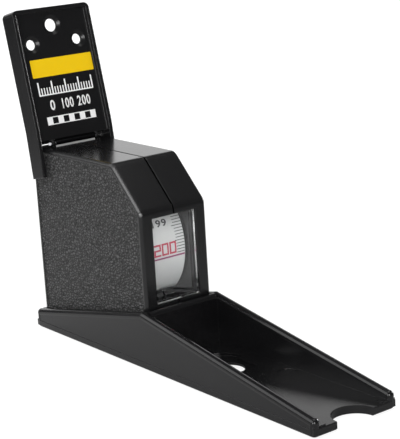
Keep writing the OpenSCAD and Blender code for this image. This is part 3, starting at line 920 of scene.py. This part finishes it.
def ruler_tree():
    """A row of upright ticks on a baseline, every fifth one longer."""
    tree, given, result = geometry_tree("face_graduations", [
        ("Count", "NodeSocketInt", 21), ("Pitch", "NodeSocketFloat", 0.0011),
        ("Short", "NodeSocketFloat", 0.0023), ("Width", "NodeSocketFloat", 0.0004),
        ("Ink", "NodeSocketMaterial", None)])
    number = add(tree, "GeometryNodeInputIndex").outputs["Index"]
    last = reckon(tree, "SUBTRACT", given.outputs["Count"], 1.0)
    middle = reckon(tree, "MULTIPLY", last, 0.5)
    along = reckon(tree, "MULTIPLY", reckon(tree, "SUBTRACT", number, middle),
                   given.outputs["Pitch"])
    size = vector_of(tree, given.outputs["Width"], given.outputs["Short"], paint_thick)
    up = vector_of(tree, 0.0, reckon(tree, "MULTIPLY", given.outputs["Short"], 0.5), 0.0)
    fifth = reckon(tree, "COMPARE", reckon(tree, "MODULO", number, 5.0), 0.0)
    wider = reckon(tree, "ADD", reckon(tree, "MULTIPLY", fifth, 0.35), 1.0)
    longer = reckon(tree, "ADD", reckon(tree, "MULTIPLY", fifth, 0.9), 1.0)
    bars = row_of_bars(tree, given.outputs["Count"], vector_of(tree, along, 0.0, 0.0), size, up,
                       vector_of(tree, wider, longer, 1.0))
    finished(tree, bars, given.outputs["Ink"], result)
    return tree


yellow_ink = ink("yellow_ink", (0.88, 0.57, 0.002))
white_ink = ink("white_ink", (0.92, 0.92, 0.92))
# Where the print stands: heights above the hinge wire, and middles across the face
stripe_low, row_low, figures_low, blocks_low = 0.0229, 0.0169, 0.0112, 0.0066
stripe_middle, row_middle = 0.0009, 0.0006
line_thick = 0.0004
put_piece("yellow_stripe",
          on_face(rounded_bar(0.0249, 0.0062, 0.0002), stripe_middle, stripe_low),
          yellow_ink, "bracket", "bracket_black")
row = grown_mesh("graduations", ruler_tree(), Count=21, Pitch=0.00108, Short=0.0023,
                 Width=line_thick, Ink=white_ink)
face_print = [on_face(row, row_middle, row_low),
              on_face(printed_bar(0.0221, line_thick), row_middle, row_low - line_thick)]
for text, x, width in (("0", -0.006, 0.0019), ("100", 0.0002, 0.0046), ("200", 0.0068, 0.0053)):
    face_print.append(on_face(numeral_mesh(text, width, 0.0036, 0.0001), x, figures_low))
block = 0.0022
for place in range(5):
    face_print.append(on_face(printed_bar(block, block), -0.0082 + place * 2 * block, blocks_low))
for z in (blocks_low - 0.0003, blocks_low + block):
    face_print.append(on_face(printed_bar(0.0198, 0.0003), row_middle, z))
put_piece("face_print", joined("face_print", face_print), white_ink, "bracket", "bracket_black")


# ROOM AND VIEW
# White paper as the floor, a white surround and soft lamps. The camera stands where the
# photograph was taken from.

def paper_floor():
    """White paper: it keeps the object's shadow, is evenly white farther off, has painted shade in
    gloss.
    """
    material, tree, surface = new_material("paper_floor")
    surface.inputs["Roughness"].default_value = 0.9
    place = add(tree, "ShaderNodeTexCoord")
    distance = add(tree, "ShaderNodeVectorMath", operation="LENGTH")
    link(tree, place.outputs["Object"], distance.inputs[0])
    path = add(tree, "ShaderNodeLightPath")
    # Painted shade in reflections: in a gloss the paper's colour darkens away from a painted pool
    # of light behind the object
    from_painted_light_pool = add(tree, "ShaderNodeVectorMath", operation="DISTANCE")
    from_painted_light_pool.inputs[1].default_value = (-0.03, 0.12, 0.0)
    link(tree, place.outputs["Object"], from_painted_light_pool.inputs[0])
    painted_light_pool = ramp(tree, from_painted_light_pool.outputs["Value"], 0.05, 0.33)
    gloss = reckon(tree, "MULTIPLY", painted_light_pool, path.outputs["Is Glossy Ray"])
    tint(tree, gloss, (0.86, 0.86, 0.86), (0.25, 0.25, 0.25), surface.inputs["Base Color"])
    seen = reckon(tree, "MAXIMUM", path.outputs["Is Camera Ray"],
                  path.outputs["Is Transmission Ray"])
    far = ramp(tree, distance.outputs["Value"], 0.15, 0.45, low=0.74)
    share = reckon(tree, "MULTIPLY", seen, far)
    glow = add(tree, "ShaderNodeEmission")
    glow.inputs["Strength"].default_value = 1.2
    choose = add(tree, "ShaderNodeMixShader")
    link(tree, share, choose.inputs[0])
    link(tree, surface.outputs["BSDF"], choose.inputs[1])
    link(tree, glow.outputs["Emission"], choose.inputs[2])
    link(tree, choose.outputs["Shader"], tree.nodes["Material Output"].inputs["Surface"])
    return material


floor_mesh = bpy.data.meshes.new("floor")
floor_half, floor_z = 3.0, -0.0003
floor_mesh.from_pydata(
    [(x * floor_half, y * floor_half, floor_z) for x, y in ((-1, -1), (1, -1), (1, 1), (-1, 1))],
    [], [(0, 1, 2, 3)])
floor_mesh.materials.append(paper_floor())
floor = new_object("floor", floor_mesh)

world = bpy.data.worlds.new("white_room")
bpy.context.scene.world = world
world.use_nodes = True
sky = world.node_tree
background = sky.nodes["Background"]
background.inputs["Color"].default_value = (1.0, 1.0, 1.0, 1.0)
path = add(sky, "ShaderNodeLightPath")
direct = reckon(sky, "MAXIMUM", path.outputs["Is Camera Ray"], path.outputs["Is Transmission Ray"])
between(sky, direct, 0.12, 1.0, background.inputs["Strength"])


def soft_lamp(name, place, target, size, power):
    """A rectangular lamp that faces its target."""
    lamp = bpy.data.lights.new(name, "AREA")
    lamp.shape = "RECTANGLE"
    lamp.size, lamp.size_y = size
    lamp.energy = power
    holder = new_object(name, lamp)
    holder.location = place
    holder.rotation_euler = (Vector(target) - Vector(place)).to_track_quat("-Z", "Y").to_euler()


# Name, place, target, width and height, watts
lamps = [
    ("side_lamp", (-0.48, 0.38, 0.43), (-0.08, 0.14, 0.02), (0.8, 0.6), 2.9),
    ("back_panel", (0.55, 1.0, 0.32), (0.0, 0.0, 0.05), (1.3, 0.5), 2.3),
    ("edge_lamp", (-0.62, -0.32, 0.16), (0.0, 0.05, 0.06), (0.12, 0.5), 2.2),
    ("slope_lamp", (-0.5, -0.06, 0.46), (0.0, 0.02, 0.06), (0.16, 0.16), 0.5),
    ("right_lamp", (0.8, 0.12, 0.06), (0.0, 0.07, 0.08), (0.2, 0.3), 4.0),
    ("top_lamp", (0.15, 0.0, 0.9), (0.0, 0.0, 0.05), (0.6, 0.6), 2.0),
    ("window_lamp", (-0.4, -0.8, 0.3), (0.0, 0.0, 0.04), (0.35, 0.35), 4.0)]
for lamp in lamps:
    soft_lamp(*lamp)

# The view was fitted to the photograph: place, direction, and focal length in its pixels
view_place = (-0.263, -0.3533, 0.1593)
view_right = (0.7876, -0.6135, -0.0581)
view_forward = (0.5843, 0.7734, -0.2457)
focal_pixels, photo_pixels, sensor = 1438.56, 400.0, 36.0
camera_data = bpy.data.cameras.new("camera")
camera_data.sensor_fit = "HORIZONTAL"
camera_data.sensor_width = sensor
camera_data.lens = focal_pixels * sensor / photo_pixels
camera = new_object("camera", camera_data)
right = Vector(view_right).normalized()
forward = Vector(view_forward)
forward = (forward - forward.dot(right) * right).normalized()
up = right.cross(forward)
turn = Matrix((right, up, -forward)).transposed()
camera.matrix_world = Matrix.Translation(view_place) @ turn.to_4x4()
bpy.context.scene.camera = camera
bpy.context.scene.view_settings.view_transform = "Standard"
